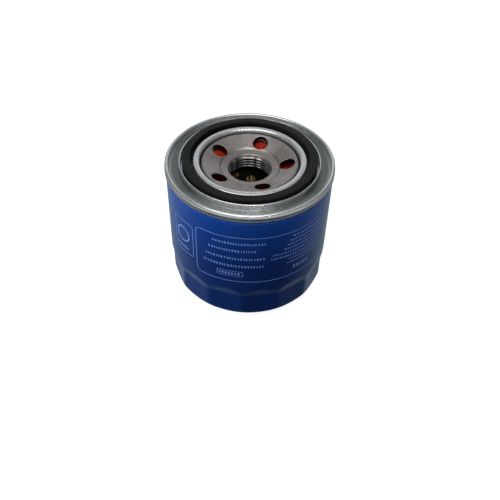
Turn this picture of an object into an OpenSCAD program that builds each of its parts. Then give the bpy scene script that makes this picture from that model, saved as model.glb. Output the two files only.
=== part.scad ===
// Spin-on engine oil filter.
// A drawn steel can is closed by a rolled-on lid and a threaded tapping plate. Inside, a leaf
// spring holds a pleated element up against the plate. The element carries a bypass valve in
// its lower cap, and a rubber anti-drain-back valve covers the plate's inlet holes.
// Frame: millimetres, +Z along the axis towards the threaded end, origin at the base's centre.

/* [Can] */
// Outer diameter of the rolled seam
seam_od = 80; // [79:0.5:84]
// Height from the base to the top of the rolled seam
body_h = 68.9; // [66:0.1:110]
// Outward step from the can's wall to the seam
seam_step = 0.5; // [0.4:0.1:1]
// Thickness of the can's and the lid's sheet
sheet_t = 0.38; // [0.3:0.01:0.39]
// Corner radius around the base
base_corner_r = 7.5; // [4:0.5:9]
// Depth of the recessed panel in the base
base_recess = 0.8; // [0.4:0.1:1.5]

/* [Wrench flats] */
// Number of wrench flats around the closed end
flat_count = 14; // [12:2:16]
// Distance across opposite flats
flat_af = 76; // [74:0.5:77]
// Height at which the flats begin to run out
flat_h = 16.5; // [12:0.5:24]
// Height of the run-out from a flat to the round wall
flat_runout = 4.5; // [2:0.5:6]
// Direction of the first flat's centre, in degrees
flat_angle = -80.4; // [-180:0.1:180]

/* [Threaded end] */
// Nominal diameter of the spigot thread
thread_d = 20; // [18:1:22]
// Pitch of the spigot thread
thread_pitch = 1.5; // [1:0.25:1.75]
// Number of thread grooves
thread_turns = 3; // [2:1:4]
// Thickness of the tapping plate
plate_t = 2.9; // [2.5:0.1:3.2]
// Angle at which the plate dishes down towards the hub
dish_angle = 19; // [14:1:20]
// Diameter at which the dish turns down into the hub
hub_bend_d = 29; // [28.4:0.2:30]
// Number of oil inlet holes
inlet_count = 5; // [4:1:6]
// Diameter of an oil inlet hole
inlet_d = 7.2; // [5:0.1:7.4]
// Diameter of the circle that the inlet holes lie on
inlet_pcd = 35; // [34.6:0.2:36]
// Direction of the first inlet hole, in degrees
inlet_angle = -70.1; // [-180:0.1:180]

/* [Lid] */
// Diameter of the inner bead, at the middle of its flat top
bead_d = 50.5; // [50.2:0.1:50.8]
// Diameter of the folded lip outside the gasket, at its crest
lip_d = 65.8; // [65.6:0.1:68]
// Height of the bead and the lip above the tapping plate
lip_h = 3.3; // [2.6:0.1:4]
// Number of spot welds between the lid and the tapping plate
weld_count = 6; // [4:1:10]

/* [Gasket] */
// Inner diameter of the gasket
gasket_id = 56; // [55.6:0.1:58]
// Outer diameter of the gasket
gasket_od = 63.6; // [62:0.1:64.4]
// Height of the gasket's section
gasket_h = 4.4; // [3.5:0.1:5]

/* [Element] */
// Number of pleats
pleat_count = 48; // [36:1:56]
// Outer diameter of the element's end caps
element_d = 70.4; // [66:0.2:71]
// Outer diameter of the centre tube
tube_d = 26.6; // [26.2:0.2:28]
// Diameter of a perforation in the centre tube
perf_d = 4.8; // [4:0.2:5.6]
// Height of the lower end cap above the base
element_z = 10; // [9:0.5:14]

/* [Bypass valve] */
// Diameter of the valve's port
bypass_port_d = 11; // [9:0.5:11.5]
// Lift of the valve disc
bypass_lift = 2.5; // [1.5:0.1:3]
// Number of turns of the valve's spring
spring_turns = 5; // [4:0.5:6]
// Diameter of the valve's spring wire
spring_wire = 0.8; // [0.6:0.05:0.9]

/* [Hidden] */

round_fn = 96;
bend_r = 0.35;
gap = 0.05;

// Can
can_r = seam_od / 2 - seam_step;
flat_r = flat_af / 2;
recess_r = 20;
recess_slope = 2;
neck_z = body_h - 5.3;

// Rolled seam: centre-lines of its five layers of sheet, from the outside in
layer = 0.4;
seam_panel_r = seam_od / 2 - sheet_t / 2;
can_hook_r = seam_panel_r - layer;
lid_hook_r = seam_panel_r - 2 * layer;
can_wall_r = seam_panel_r - 3 * layer;
chuck_wall_r = seam_panel_r - 4 * layer;
seam_roll_z = body_h - 2 * layer - sheet_t / 2;
can_fold_z = seam_roll_z - 0.15;
can_hook_end_z = body_h - 2.6;
seam_curl_z = body_h - 3.1;
lid_hook_end_z = body_h - 1.65;

// Tapping plate and thread
plate_z = body_h - 2.7;
plate_bottom_z = plate_z - plate_t;
plate_r = chuck_wall_r - 0.1;
plate_chamfer = 0.3;
crest_r = 22.1;
crest_bend_r = 0.8;
crest_flank = 65;
crest_z = plate_z + 1.85;
dish_start = [crest_r, crest_z - crest_bend_r] + crest_bend_r * [-sin(dish_angle), cos(dish_angle)];
hub_bend_r = hub_bend_d / 2;
hub_bend_z = dish_start.y - (dish_start.x - hub_bend_r) * tan(dish_angle);
hub_step_w = 0.8;
hub_step_h = 0.65;
hub_mouth_z = plate_z - 2.65;
hub_mouth_chamfer = 0.6;
hub_neck_z = hub_mouth_z - plate_t + 1.2;
thread_major_r = thread_d / 2;
thread_depth = 0.5413 * thread_pitch;
thread_minor_r = thread_major_r - thread_depth;
thread_land = thread_pitch / 4;
thread_root = thread_pitch / 8;
thread_flank = (thread_pitch - thread_land - thread_root) / 2;
thread_top_z = hub_mouth_z - thread_flank;
thread_end_z = thread_top_z - thread_turns * thread_pitch - thread_land;
hub_end_z = thread_end_z - thread_depth;
hub_r = thread_major_r + 2.3;
hub_fillet = 0.6;
inlet_r = inlet_pcd / 2;

// Lid
floor_z = plate_z + sheet_t / 2;
bead_r = bead_d / 2;
bead_flat = 1.4;
bead_roll_r = 0.75;
bead_edge_r = bead_r - bead_flat / 2 - bead_roll_r;
bead_foot_r = bead_r + bead_flat / 2 + bead_roll_r;
bead_roll_z = plate_z + lip_h - bead_roll_r - sheet_t / 2;
bead_edge_z = bead_roll_z - 1.3;
lip_r = lip_d / 2;
lip_fold_r = 0.28;
lip_fold_z = plate_z + lip_h - lip_fold_r - sheet_t / 2;
weld_r = 2.2;
weld_circle_r = (gasket_id + gasket_od) / 4;

// Gasket
gasket_corner = 0.6;
gasket_z = plate_z + sheet_t;
gasket_foot_r = bead_foot_r + bend_r + 0.1;
gasket_foot_h = 1.5;

// Element
cap_t = 0.4;
cap_bend_r = 0.6;
cap_skirt_h = 4.5;
cap_skirt_r = (element_d - cap_t) / 2;
cap_neck_r = thread_major_r + 1.1;
cap_neck_h = 1.2;
seal_foot_t = 1.8;
upper_cap_z = hub_end_z - seal_foot_t;
bed_t = 1.2;
bed_inner_r = tube_d / 2 + gap;
bed_outer_r = element_d / 2 - cap_t - gap;
media_z = element_z + cap_t + bed_t;
media_h = upper_cap_z - cap_t - bed_t - media_z;
media_inner_r = bed_inner_r + 0.25;
media_outer_r = bed_outer_r - 0.6;
paper_t = 0.55;
tube_t = 0.4;
tube_bottom_z = element_z + cap_t;
tube_top_z = upper_cap_z - cap_t;
perf_columns = 11;
perf_rise = 4.2;
perf_pitch = perf_columns * perf_rise / 4;
perf_angle = 87;
perf_first_z = upper_cap_z - 8.2;
perf_margin = perf_d / 2 + 1;

// Anti-drain-back valve
sleeve_r = hub_r + 1.6;
sleeve_top_z = hub_neck_z - hub_fillet - 0.3;
membrane_t = 0.8;
membrane_root_z = hub_end_z - 0.4;
membrane_knee_r = inlet_r + 2.3;
membrane_knee_z = membrane_root_z + 3.5;
valve_lip_r = min(inlet_r + inlet_d / 2 + 1.3, crest_r + 0.3);
valve_lip_w = 0.6;
valve_lip_z = plate_top(valve_lip_r - valve_lip_w) - plate_t - gap;

// Bypass valve
housing_t = 0.5;
port_r = bypass_port_d / 2;
housing_r = tube_d / 2 - tube_t - 0.3;
housing_z = element_z + cap_t;
seat_roll_r = 0.35;
seat_h = 1.6;
seat_z = housing_z + seat_h;
seal_t = 0.8;
disc_t = 0.5;
disc_r = 8;
disc_z = seat_z + gap + seal_t;
boss_r = 3;
boss_h = 1.5;
boss_top_z = disc_z + disc_t + boss_h;
cage_t = 0.45;
cage_wall_r = 9.8;
cage_z = housing_z + housing_t;
cage_ceiling_z = disc_z + 10;
cage_neck_r = 2.3;
cage_neck_z = boss_top_z + bypass_lift + 0.1;
cage_windows = 4;
cage_window_w = 9;
spring_r = 4.4;
spring_low_z = disc_z + disc_t + gap + spring_wire / 2;
spring_high_z = cage_ceiling_z - gap - spring_wire / 2;

// Support spring
leaf_t = 0.8;
leaf_w = 10;
leaf_count = 4;
leaf_ring_inner_r = 13;
leaf_ring_outer_r = 17.5;
leaf_foot_r = 27;

// Points along an arc, from one angle to another
function arc(centre, r, from, to, steps = 6) =
    [for (i = [0:steps]) let (a = from + (to - from) * i / steps) centre + r * [cos(a), sin(a)]];

function direction(a, b) = (b - a) / norm(b - a);
function left_of(v) = [-v.y, v.x];

// Sideways step that keeps an offset path one unit from the path at point i
function mitre(path, i) =
    let (last = len(path) - 1,
         before = i == 0 ? direction(path[0], path[1]) : direction(path[i - 1], path[i]),
         after = i == last ? before : direction(path[i], path[i + 1]),
         sum = left_of(before) + left_of(after))
    2 * sum / (sum * sum);

// Closed outline of a sheet of thickness t whose centre-line is path
function sheet(path, t) = concat(
    [for (i = [0:len(path) - 1]) path[i] + t / 2 * mitre(path, i)],
    [for (i = [len(path) - 1:-1:0]) path[i] - t / 2 * mitre(path, i)]);

function polar(r, a) = [r * cos(a), r * sin(a)];

// Height of the tapping plate's top, on the dish or on the crest
function plate_top(r) = r < dish_start.x
    ? dish_start.y - (dish_start.x - r) * tan(dish_angle)
    : crest_z - crest_bend_r + sqrt(pow(crest_bend_r, 2) - pow(r - crest_r, 2));

module revolve(outline) {
    rotate_extrude($fn = round_fn) polygon(outline);
}

module ring(inner_r, outer_r, z, h) {
    revolve([[inner_r, z], [outer_r, z], [outer_r, z + h], [inner_r, z + h]]);
}

// The can's cup as a solid: its outside when inset is 0, its inside when inset is sheet_t
module cup_form(inset, top_z) {
    flat_depth = can_r - flat_r;
    difference() {
        revolve(concat(
            [[0, base_recess + inset], [recess_r - recess_slope, base_recess + inset]],
            [[recess_r, inset]],
            arc([can_r - base_corner_r, base_corner_r], base_corner_r - inset, 270, 360),
            [[can_r - inset, top_z], [0, top_z]]));
        for (i = [0:flat_count - 1])
            rotate([0, 0, flat_angle + i * 360 / flat_count])
                translate([flat_r - inset, 0, 0])
                    rotate([90, 0, 0])
                        linear_extrude(height = can_r, center = true)
                            polygon([[0, -1], [0, flat_h],
                                [2 * flat_depth, flat_h + 2 * flat_runout], [2 * flat_depth, -1]]);
    }
}

module can() {
    wall_mid_r = can_r - sheet_t / 2;
    color([0.04, 0.16, 0.42]) {
        difference() {
            cup_form(0, neck_z);
            cup_form(sheet_t, neck_z + 1);
        }
        revolve(sheet(concat(
            [[wall_mid_r, neck_z], [wall_mid_r, neck_z + 0.2], [can_wall_r, neck_z + 1]],
            arc([lid_hook_r, can_fold_z], layer, 180, 0),
            [[can_hook_r, can_hook_end_z]]), sheet_t));
    }
}

// Sealing compound in the pocket above the lid's hook
module seam_compound() {
    color([0.75, 0.72, 0.6])
        ring(lid_hook_r - sheet_t / 2, lid_hook_r + sheet_t / 2, lid_hook_end_z, 0.35);
}

module seaming_lid() {
    path = concat(
        [[bead_edge_r, bead_edge_z]],
        arc([bead_edge_r + bead_roll_r, bead_roll_z], bead_roll_r, 180, 90),
        arc([bead_foot_r - bead_roll_r, bead_roll_z], bead_roll_r, 90, 0),
        arc([bead_foot_r + bend_r, floor_z + bend_r], bend_r, 180, 270, 4),
        arc([lip_r - lip_fold_r - bend_r, floor_z + bend_r], bend_r, 270, 360, 4),
        arc([lip_r, lip_fold_z], lip_fold_r, 180, 0, 8),
        arc([lip_r + lip_fold_r + bend_r, floor_z + bend_r], bend_r, 180, 270, 4),
        arc([chuck_wall_r - bend_r, floor_z + bend_r], bend_r, 270, 360, 4),
        arc([lid_hook_r, seam_roll_z], 2 * layer, 180, 0, 10),
        arc([can_hook_r, seam_curl_z], layer, 0, -180),
        [[lid_hook_r, lid_hook_end_z]]);
    color([0.8, 0.81, 0.82])
        difference() {
            revolve(sheet(path, sheet_t));
            at_welds() cylinder(r = weld_r, h = 2, center = true, $fn = 48);
        }
}

module at_welds() {
    for (i = [0:weld_count - 1])
        rotate([0, 0, i * 360 / weld_count])
            translate([weld_circle_r, 0, plate_z])
                children();
}

module lid_welds() {
    color([0.55, 0.55, 0.55])
        at_welds() cylinder(r = weld_r, h = sheet_t, $fn = 48);
}

// A flange under the lid, a crest inside its bead, a dish down to the hub and the threaded hub
module tapping_plate() {
    crest_centre = [crest_r, crest_z - crest_bend_r];
    flank_start = crest_centre + crest_bend_r * [sin(crest_flank), cos(crest_flank)];
    flange_r = flank_start.x + (flank_start.y - plate_z) / tan(crest_flank);
    dish = concat(
        [[flange_r, plate_z]],
        arc(crest_centre, crest_bend_r, 90 - crest_flank, 90 + dish_angle, 8),
        [[hub_bend_r, hub_bend_z]]);
    mouth = [
        [hub_bend_r - hub_step_w, hub_bend_z - hub_step_h],
        [thread_major_r + hub_mouth_chamfer, hub_mouth_z + hub_mouth_chamfer],
        [thread_major_r, hub_mouth_z]];
    underside = [for (i = [len(dish) - 1:-1:0]) dish[i] - [0, plate_t]];
    grooves = [for (i = [0:thread_turns - 1]) let (z = thread_top_z - i * thread_pitch) each [
        [thread_minor_r, z],
        [thread_minor_r, z - thread_land],
        [thread_major_r, z - thread_land - thread_flank],
        [thread_major_r, z - thread_land - thread_flank - thread_root]]];
    color([0.6, 0.6, 0.62])
        difference() {
            revolve(concat(
                [[plate_r, plate_z - plate_chamfer], [plate_r - plate_chamfer, plate_z]],
                dish,
                mouth,
                grooves,
                [[thread_minor_r, thread_end_z + thread_land], [thread_minor_r, thread_end_z]],
                [[thread_major_r, hub_end_z], [hub_r, hub_end_z]],
                arc([hub_r + hub_fillet, hub_neck_z - hub_fillet], hub_fillet, 180, 90, 4),
                underside,
                [[plate_r, plate_bottom_z]]));
            for (i = [0:inlet_count - 1])
                rotate([0, 0, inlet_angle + i * 360 / inlet_count])
                    translate([inlet_r, 0, hub_neck_z - 1])
                        cylinder(d = inlet_d, h = crest_z - hub_neck_z + 2, $fn = 64);
        }
}

// The sealing ring, with a low foot that fills the groove beside the lid's bead
module base_gasket() {
    inner = gasket_id / 2 + gasket_corner;
    outer = gasket_od / 2 - gasket_corner;
    low = gasket_z + gasket_corner;
    high = gasket_z + gasket_h - gasket_corner;
    color([0.06, 0.06, 0.06])
        revolve(concat(
            [[gasket_id / 2, gasket_z + gasket_foot_h], [gasket_foot_r, gasket_z + gasket_foot_h]],
            [[gasket_foot_r, gasket_z]],
            arc([outer, low], gasket_corner, 270, 360, 4),
            arc([outer, high], gasket_corner, 0, 90, 4),
            arc([inner, high], gasket_corner, 90, 180, 4)));
}

// Sleeve around the hub, a foot between the hub and the element, and a membrane up to the plate
module anti_drainback_valve() {
    foot_r = cap_neck_r;
    half_t = membrane_t / 2;
    color([0.75, 0.16, 0.08])
        revolve([
            [foot_r, upper_cap_z + gap],
            [sleeve_r, upper_cap_z + gap],
            [sleeve_r, membrane_root_z - half_t],
            [membrane_knee_r + half_t / 2, membrane_knee_z - half_t],
            [valve_lip_r, valve_lip_z - membrane_t],
            [valve_lip_r, valve_lip_z],
            [valve_lip_r - valve_lip_w, valve_lip_z],
            [membrane_knee_r - half_t / 2, membrane_knee_z + half_t],
            [sleeve_r, membrane_root_z + half_t],
            [sleeve_r - 0.2, sleeve_top_z],
            [hub_r + gap, sleeve_top_z],
            [hub_r + gap, hub_end_z - gap],
            [foot_r, hub_end_z - gap]]);
}

module upper_end_cap() {
    flat_z = upper_cap_z - cap_t / 2;
    color([0.7, 0.7, 0.68])
        revolve(sheet(concat(
            [[cap_neck_r, upper_cap_z - cap_neck_h]],
            arc([cap_neck_r + cap_bend_r, flat_z - cap_bend_r], cap_bend_r, 180, 90, 4),
            arc([cap_skirt_r - cap_bend_r, flat_z - cap_bend_r], cap_bend_r, 90, 0, 4),
            [[cap_skirt_r, upper_cap_z - cap_skirt_h]]), cap_t));
}

module lower_end_cap() {
    flat_z = element_z + cap_t / 2;
    color([0.7, 0.7, 0.68])
        revolve(sheet(concat(
            [[cage_wall_r, flat_z]],
            arc([cap_skirt_r - cap_bend_r, flat_z + cap_bend_r], cap_bend_r, 270, 360, 4),
            [[cap_skirt_r, element_z + cap_skirt_h]]), cap_t));
}

module adhesive_bed(z) {
    color([0.85, 0.8, 0.62])
        ring(bed_inner_r, bed_outer_r - cap_bend_r, z, bed_t);
}

module upper_adhesive() {
    adhesive_bed(upper_cap_z - cap_t - bed_t);
}

module lower_adhesive() {
    adhesive_bed(element_z + cap_t);
}

// One zigzag sheet of paper: the outline outside the folds less the outline inside them
module pleated_media() {
    step = 360 / pleat_count;
    tip = paper_t / media_outer_r * 180 / PI;
    valley = paper_t / media_inner_r * 180 / PI;
    outside = [for (i = [0:pleat_count - 1]) each [
        polar(media_outer_r, i * step - tip),
        polar(media_outer_r, i * step + tip),
        polar(media_inner_r + paper_t, (i + 0.5) * step)]];
    inside = [for (i = [0:pleat_count - 1]) each [
        polar(media_outer_r - paper_t, i * step),
        polar(media_inner_r, (i + 0.5) * step - valley),
        polar(media_inner_r, (i + 0.5) * step + valley)]];
    color([0.78, 0.6, 0.3])
        translate([0, 0, media_z])
            linear_extrude(height = media_h)
                difference() {
                    polygon(outside);
                    polygon(inside);
                }
}

// Folded strip over one outer pleat tip
module media_seam_clip() {
    clip_t = 0.4;
    clip_depth = 6;
    pleat_growth = media_inner_r * sin(180 / pleat_count) - paper_t;
    tip_w = 2 * (paper_t + gap + pleat_growth * clip_depth / (media_outer_r - media_inner_r));
    translate([0, 0, media_z + 0.2])
        color([0.62, 0.63, 0.65])
            linear_extrude(height = media_h - 0.4)
                difference() {
                    translate([media_outer_r - clip_depth, -tip_w / 2 - clip_t])
                        square([clip_depth + gap + clip_t, tip_w + 2 * clip_t]);
                    translate([media_outer_r - clip_depth - 1, -tip_w / 2])
                        square([clip_depth + 1 + gap, tip_w]);
                }
}

// Perforations climb in a helix, one column after the next
module center_tube() {
    rows = ceil((tube_top_z - tube_bottom_z) / perf_pitch) + 4;
    color([0.3, 0.3, 0.29])
        difference() {
            ring(tube_d / 2 - tube_t, tube_d / 2, tube_bottom_z, tube_top_z - tube_bottom_z);
            for (column = [0:perf_columns - 1])
                for (row = [-rows:1]) {
                    z = perf_first_z + column * perf_rise + row * perf_pitch;
                    if (z > tube_bottom_z + perf_margin && z < tube_top_z - perf_margin)
                        rotate([0, 0, perf_angle + column * 360 / perf_columns])
                            translate([tube_d / 2 - 2, 0, z])
                                rotate([0, 90, 0])
                                    cylinder(d = perf_d, h = 4, $fn = 32);
                }
        }
}

module bypass_housing() {
    flange_z = housing_z + housing_t / 2;
    roll_z = seat_z - housing_t / 2 - seat_roll_r;
    inner_r = port_r + housing_t / 2;
    seat_r = inner_r + seat_roll_r;
    color([0.72, 0.72, 0.7])
        revolve(sheet(concat(
            [[inner_r, housing_z]],
            arc([seat_r, roll_z], seat_roll_r, 180, 0, 8),
            arc([seat_r + seat_roll_r + bend_r, flange_z + bend_r], bend_r, 180, 270, 4),
            [[housing_r, flange_z]]), housing_t));
}

module bypass_seal() {
    color([0.08, 0.08, 0.08])
        ring(port_r - 1, disc_r, seat_z + gap, seal_t);
}

module bypass_disc() {
    mid_z = disc_z + disc_t / 2;
    color([0.75, 0.75, 0.73])
        revolve(sheet([
            [0, mid_z + boss_h],
            [boss_r - 1, mid_z + boss_h],
            [boss_r, mid_z + boss_h - 0.8],
            [boss_r + 0.3, mid_z],
            [disc_r, mid_z]], disc_t));
}

// Height along the spring, as a share of its travel, with a flat closing turn at each end
function spring_rise(share) =
    let (end = 0.8 / spring_turns)
    share < end ? 0 : share > 1 - end ? 1 : (share - end) / (1 - 2 * end);

module bypass_spring() {
    sides = 8;
    turn_steps = 24;
    steps = ceil(spring_turns * turn_steps);
    end_shift = spring_wire * 1.02;
    low = spring_low_z;
    high = spring_high_z;
    points = [for (i = [0:steps], j = [0:sides - 1])
        let (share = i / steps,
             a = 360 * spring_turns * share,
             closing = end_shift * (min(share, 0.8 / spring_turns)
                 + max(share - 1 + 0.8 / spring_turns, 0)) * spring_turns / 0.8,
             z = low + (high - low - 2 * end_shift) * spring_rise(share) + closing,
             b = 360 * j / sides,
             r = spring_r + spring_wire / 2 * cos(b))
        [r * cos(a), r * sin(a), z + spring_wire / 2 * sin(b)]];
    sides_faces = [for (i = [0:steps - 1], j = [0:sides - 1])
        let (next = (j + 1) % sides)
        [i * sides + j, i * sides + next, (i + 1) * sides + next, (i + 1) * sides + j]];
    start_face = [[for (j = [sides - 1:-1:0]) j]];
    end_face = [[for (j = [0:sides - 1]) steps * sides + j]];
    color([0.5, 0.5, 0.52])
        polyhedron(points = points, faces = concat(sides_faces, start_face, end_face));
}

module bypass_cage() {
    flange_z = cage_z + cage_t / 2;
    ceiling_z = cage_ceiling_z + cage_t / 2;
    window_z = cage_z + cage_t + 0.8;
    window_h = cage_ceiling_z - 1.2 - window_z;
    color([0.72, 0.72, 0.7])
        difference() {
            revolve(sheet(concat(
                [[housing_r, flange_z]],
                arc([cage_wall_r + bend_r, flange_z + bend_r], bend_r, 270, 180, 4),
                arc([cage_wall_r - 2 * bend_r, ceiling_z - 2 * bend_r], 2 * bend_r, 0, 90, 4),
                arc([cage_neck_r + bend_r, ceiling_z - bend_r], bend_r, 90, 180, 4),
                [[cage_neck_r, cage_neck_z]]), cage_t));
            for (i = [0:cage_windows - 1])
                rotate([0, 0, 45 + i * 360 / cage_windows])
                    translate([cage_wall_r - 2, -cage_window_w / 2, window_z])
                        cube([4, cage_window_w, window_h]);
        }
}

// A flat ring under the element with bowed legs that stand on the can's base
module support_spring() {
    ring_z = element_z - leaf_t;
    mid_z = ring_z + leaf_t / 2;
    foot_z = sheet_t + leaf_t / 2 + gap;
    leg = concat(
        [[leaf_ring_inner_r + 1.5, mid_z], [leaf_ring_outer_r - 1, mid_z]],
        [[leaf_ring_outer_r + 2, mid_z - 1.2], [leaf_foot_r - 2, foot_z + 1]],
        [[leaf_foot_r, foot_z], [leaf_foot_r + 1.5, foot_z + 0.6]]);
    color([0.45, 0.47, 0.5]) {
        ring(leaf_ring_inner_r, leaf_ring_outer_r, ring_z, leaf_t);
        for (i = [0:leaf_count - 1])
            rotate([0, 0, i * 360 / leaf_count])
                rotate([90, 0, 0])
                    linear_extrude(height = leaf_w, center = true)
                        polygon(sheet(leg, leaf_t));
    }
}

can();
seam_compound();
seaming_lid();
lid_welds();
tapping_plate();
base_gasket();
anti_drainback_valve();
upper_end_cap();
upper_adhesive();
pleated_media();
media_seam_clip();
center_tube();
lower_adhesive();
lower_end_cap();
bypass_housing();
bypass_seal();
bypass_disc();
bypass_spring();
bypass_cage();
support_spring();
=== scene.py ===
import math
import random

import bmesh
import bpy
from mathutils import Matrix, Vector


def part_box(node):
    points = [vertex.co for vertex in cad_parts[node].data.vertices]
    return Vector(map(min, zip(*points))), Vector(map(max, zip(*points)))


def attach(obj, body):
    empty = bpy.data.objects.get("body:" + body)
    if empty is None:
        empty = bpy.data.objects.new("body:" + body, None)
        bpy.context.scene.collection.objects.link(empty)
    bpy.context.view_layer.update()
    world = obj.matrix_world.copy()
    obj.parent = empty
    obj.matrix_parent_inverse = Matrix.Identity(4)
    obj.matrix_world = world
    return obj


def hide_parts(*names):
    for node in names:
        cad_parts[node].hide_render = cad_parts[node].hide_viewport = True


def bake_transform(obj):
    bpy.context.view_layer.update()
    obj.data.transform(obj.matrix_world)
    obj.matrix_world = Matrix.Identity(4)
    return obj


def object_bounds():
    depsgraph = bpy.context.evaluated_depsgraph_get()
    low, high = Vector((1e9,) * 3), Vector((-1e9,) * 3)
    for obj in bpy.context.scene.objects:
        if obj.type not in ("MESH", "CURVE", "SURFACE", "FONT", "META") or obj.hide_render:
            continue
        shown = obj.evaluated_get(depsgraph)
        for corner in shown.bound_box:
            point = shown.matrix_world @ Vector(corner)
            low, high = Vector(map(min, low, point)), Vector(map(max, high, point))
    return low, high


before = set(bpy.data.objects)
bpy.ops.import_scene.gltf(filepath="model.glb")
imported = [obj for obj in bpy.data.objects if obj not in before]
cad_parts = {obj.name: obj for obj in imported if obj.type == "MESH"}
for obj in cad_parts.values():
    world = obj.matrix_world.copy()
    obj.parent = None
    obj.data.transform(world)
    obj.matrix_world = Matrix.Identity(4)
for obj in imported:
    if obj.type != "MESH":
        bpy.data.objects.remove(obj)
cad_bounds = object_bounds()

# The visible model of a spin-on oil filter that stands on its closed end.
# Lengths are in millimetres until a mesh is made; heights and radii hang on the CAD nodes' boxes.
MM = 0.001
ROOT, LIP_BODY, VALVE_BODY = "filter", "drainback_lip", "bypass_valve"


def low(node):
    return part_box(node)[0].z / MM


def high(node):
    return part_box(node)[1].z / MM


def reach(node):
    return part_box(node)[1].x / MM


# --- driving dimensions ----------------------------------------------------------------------

# The can's and lid's sheet, its layers in the rolled seam, and the gap left between two pieces
SHEET, LAYER, GAP = 0.38, 0.4, 0.05
LIP_OVER_SEAM = 0.6
SEAM_R = reach("seaming_lid")
SEAM_TOP = high("seaming_lid") - LIP_OVER_SEAM

# A sheet's eased edge, as shares of its thickness: how far it stands out, and half its width
EDGE_OUT, EDGE_HALF = 0.2, 0.28

# The tapping plate: flange, crest, dish, threaded hub and inlet holes
PLATE_T = 2.9
CREST_OVER_FLANGE = 1.85
FLANGE = high("tapping_plate") - CREST_OVER_FLANGE
CREST_R, CREST_BEND, FLANK = 22.1, 0.8, 65
DISH = math.radians(19)
HUB_BEND_R, HUB_WALL = 14.5, 2.3
PITCH, MAJOR_R = 1.5, 10.0
MINOR_R = MAJOR_R - 0.5413 * PITCH
HUB_R = MAJOR_R + HUB_WALL
MOUTH_DEPTH = 2.65
MOUTH = FLANGE - MOUTH_DEPTH
HUB_NECK = MOUTH - PLATE_T + 1.2
HUB_END = low("tapping_plate")
INLETS, INLET_R, INLET_HOLE_R, INLET_ANGLE = 5, 17.5, 3.6, -70.1

# The lid's folded lip and its flat-topped inner bead, which stand as high over the flange
LIP_R, LIP_H = 32.9, 3.3
BEAD_R, BEAD_HALF = 25.25, 1.45
BEAD_SHOULDER, BEAD_INNER_SHOULDER = 0.75, 1.15

# The opening in the element's top, how far from the axis painted shade darkens its edge, and the
# valve's sleeve
ELEMENT_BORE_R = 11.1
PAINTED_SHADE_R = ELEMENT_BORE_R + 0.5
SLEEVE_R = HUB_R + 1.6

# The can's wrench flats, corner, base and neck
FLATS, APOTHEM = 14, 38.0
FLAT_ANGLE = math.radians(-80.4)
FLAT_TOP = 16.5
FLATS_END = FLAT_TOP + 9
FLATS_FROM_R = 24
CAN_R = SEAM_R - 0.5
CORNER_R = 7.5
RECESS_R, FOOT_R, BASE_RECESS = 18, 20, 0.8
NECK = SEAM_TOP - 5.3
HOOK_R = SEAM_R - SHEET / 2 - LAYER
WALL_UNDER_SEAM_R = HOOK_R - 2 * LAYER

# The element: caps, pleats and tube; and the bypass disc below it
CAP_T, CAP_SKIRT = 0.4, 4.5
SKIRT_R = reach("upper_end_cap") - CAP_T / 2
PLEATS, PLEAT_R, PAPER_T = 48, 13.6, 0.55
TUBE_R, TUBE_T = reach("center_tube"), 0.4
DISC_R = 8


# --- outlines of (r, z) points ---------------------------------------------------------------

def arc(x, z, r, start, end, steps=8):
    turns = [math.radians(start + (end - start) * i / steps) for i in range(steps + 1)]
    return [(x + r * math.cos(a), z + r * math.sin(a)) for a in turns]


def offset(path, distance, closed=False):
    """The path moved sideways, to its left for a positive distance, with mitred corners"""
    count = len(path)
    moved = []
    for i, (x, z) in enumerate(path):
        here = Vector((x, z))
        before = here - Vector(path[i - 1]) if i or closed else None
        after = Vector(path[(i + 1) % count]) - here if i < count - 1 or closed else None
        a = (before or after).normalized()
        b = (after or before).normalized()
        normal = Vector((-a.y - b.y, a.x + b.x))
        moved.append(tuple(here + normal * (2 * distance / normal.length_squared)))
    return moved


def sheet(path, t):
    """Closed outline of a sheet of thickness t whose centre-line is path, with eased edges"""
    ends = []
    for tip, inward in ((path[-1], path[-2]), (path[0], path[1])):
        out = (Vector(tip) - Vector(inward)).normalized()
        side = Vector((-out.y, out.x))
        ends.append([tuple(Vector(tip) + out * (t * EDGE_OUT) + side * s * t * EDGE_HALF)
                     for s in (1, -1)])
    return offset(path, t / 2) + ends[0] + offset(path, -t / 2)[::-1] + ends[1]


def domed(path, t):
    """Closed outline of a sheet of thickness t whose centre-line starts on the axis"""
    left, right = offset(path, t / 2), offset(path, -t / 2)
    left[0], right[0] = (0, left[0][1]), (0, right[0][1])
    return left + right[::-1]


def fillet(points, radius, closed=True, steps=4):
    """Rounds the corners of an outline; radius is one number or one for each point"""
    count = len(points)
    result = []
    for i, p in enumerate(points):
        r = radius[i] if isinstance(radius, (list, tuple)) else radius
        if r == 0 or (not closed and i in (0, count - 1)):
            result.append(tuple(p))
            continue
        p = Vector(p)
        a = Vector(points[i - 1]) - p
        b = Vector(points[(i + 1) % count]) - p
        half = a.angle(b) / 2
        longest = 0.45 * min(a.length, b.length)
        trim = min(r / max(math.tan(half), 0.05), longest)
        start, end = p + a.normalized() * trim, p + b.normalized() * trim
        for k in range(steps + 1):
            u = k / steps
            result.append(tuple(start * (1 - u) ** 2 + p * (2 * u * (1 - u)) + end * u * u))
    return result


def refined(path, spacing):
    """The path with extra points wherever two neighbours are further apart than spacing"""
    result = [path[0]]
    for a, b in zip(path, path[1:]):
        pieces = max(1, math.ceil((Vector(b) - Vector(a)).length / spacing))
        result += [tuple(Vector(a).lerp(Vector(b), k / pieces)) for k in range(1, pieces + 1)]
    return result


def polar(r, degrees):
    a = math.radians(degrees)
    return (r * math.cos(a), r * math.sin(a))


# --- meshes ----------------------------------------------------------------------------------

def vertex(bm, x, y, z):
    return bm.verts.new((x * MM, y * MM, z * MM))


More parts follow.
